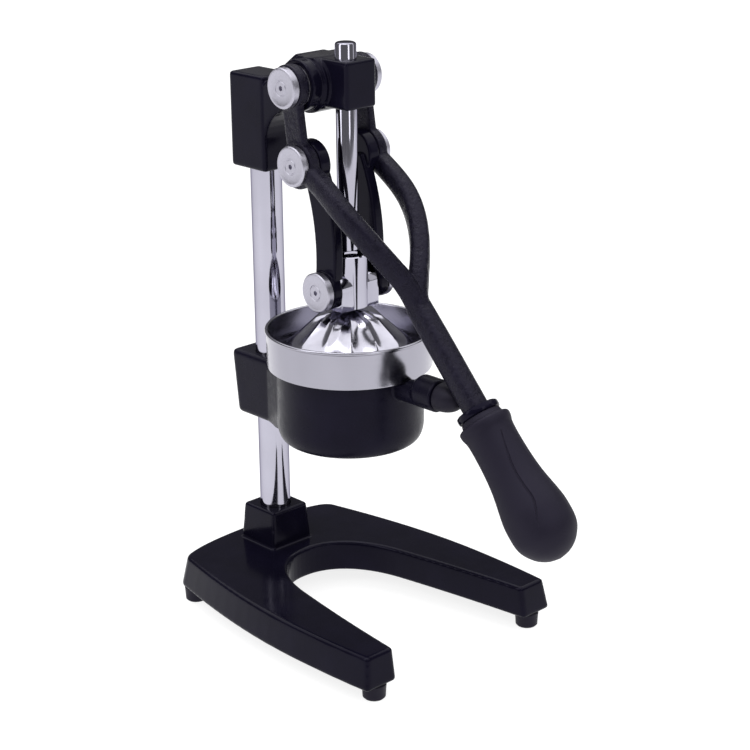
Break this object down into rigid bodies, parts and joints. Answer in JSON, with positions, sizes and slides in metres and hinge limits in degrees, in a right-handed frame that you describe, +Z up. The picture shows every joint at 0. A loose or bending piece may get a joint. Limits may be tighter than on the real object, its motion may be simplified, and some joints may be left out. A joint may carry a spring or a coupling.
{
  "type": "lever citrus juice press",
  "caption": "Bench press for citrus: a forked lever and two links drive a vertical ram whose fluted bell squeezes halved fruit onto a reamer in a steel cup held on a post.",
  "frame": {"origin": "middle of the bounding box, on the table under the feet", "axes": "+Z up; -Y towards the front, where the handle's grip is; +X to the viewer's right when facing the press's front"},
  "size_m": [0.2074, 0.3586, 0.4647],
  "materials": {
    "black_enamel": "gloss",
    "cast_black": "satin, rough cast",
    "chrome": "mirror",
    "satin_steel": "satin",
    "polished_steel": "polished",
    "zinc_steel": "zinc plated",
    "grip_rubber": "matte",
    "black_rubber": "matte"
  },
  "bodies": {
    "frame": {"base_casting": "black_enamel", "rubber_foot_front_left": "black_rubber", "rubber_foot_front_right": "black_rubber", "rubber_foot_rear_left": "black_rubber", "rubber_foot_rear_right": "black_rubber", "foot_screw_front_left": "zinc_steel", "foot_screw_front_right": "zinc_steel", "foot_screw_rear_left": "zinc_steel", "foot_screw_rear_right": "zinc_steel", "post": "chrome", "post_bolt": "zinc_steel", "post_bolt_washer": "zinc_steel", "head_casting": "black_enamel", "head_set_screw_lower": "zinc_steel", "head_set_screw_upper": "zinc_steel", "cup_holder": "black_enamel", "holder_set_screw": "zinc_steel", "lever_rest_bumper": "black_rubber", "juice_cup": "polished_steel", "juice_funnel": "polished_steel", "strainer_reamer": "satin_steel", "head_pivot_pin_left": "satin_steel", "head_pivot_pin_right": "satin_steel", "head_pivot_washer_left": "zinc_steel", "head_pivot_washer_right": "zinc_steel"},
    "lever": {"lever_fork": "cast_black", "handle_grip": "grip_rubber", "lever_link_pin_left": "satin_steel", "lever_link_pin_right": "satin_steel"},
    "ram": {"ram_rod": "chrome", "rod_lock_nut": "chrome", "crosshead": "chrome", "press_bell": "polished_steel", "bell_screw": "zinc_steel", "crosshead_pin_left": "satin_steel", "crosshead_pin_right": "satin_steel"},
    "left_link": {"link_left": "black_enamel", "link_pin_end_left": "zinc_steel"},
    "right_link": {"link_right": "black_enamel", "link_pin_end_right": "zinc_steel"}
  },
  "joints": [
    {"name": "lever_swing", "type": "hinge", "parent": "frame", "child": "lever", "pos_m": [0, 0.06981, 0.4332], "axis": [-1, 0, 0], "range_deg": [0, 90]},
    {"name": "ram_slide", "type": "slide", "parent": "frame", "child": "ram", "axis": [0, 0, 1], "range_m": [0, 0.0715]},
    {"name": "left_link_swing", "type": "hinge", "parent": "ram", "child": "left_link", "pos_m": [0, 0.04731, 0.27903], "axis": [1, 0, 0], "range_deg": [0, 29.01]},
    {"name": "right_link_swing", "type": "hinge", "parent": "ram", "child": "right_link", "pos_m": [0, 0.04731, 0.27903], "axis": [1, 0, 0], "range_deg": [0, 29.01]}
  ],
  "couplings": [
    {"joint": "ram_slide", "follows": "lever_swing", "m_per_rad": 0.04549},
    {"joint": "left_link_swing", "follows": "lever_swing", "ratio": 0.32224},
    {"joint": "right_link_swing", "follows": "lever_swing", "ratio": 0.32224}
  ]
}
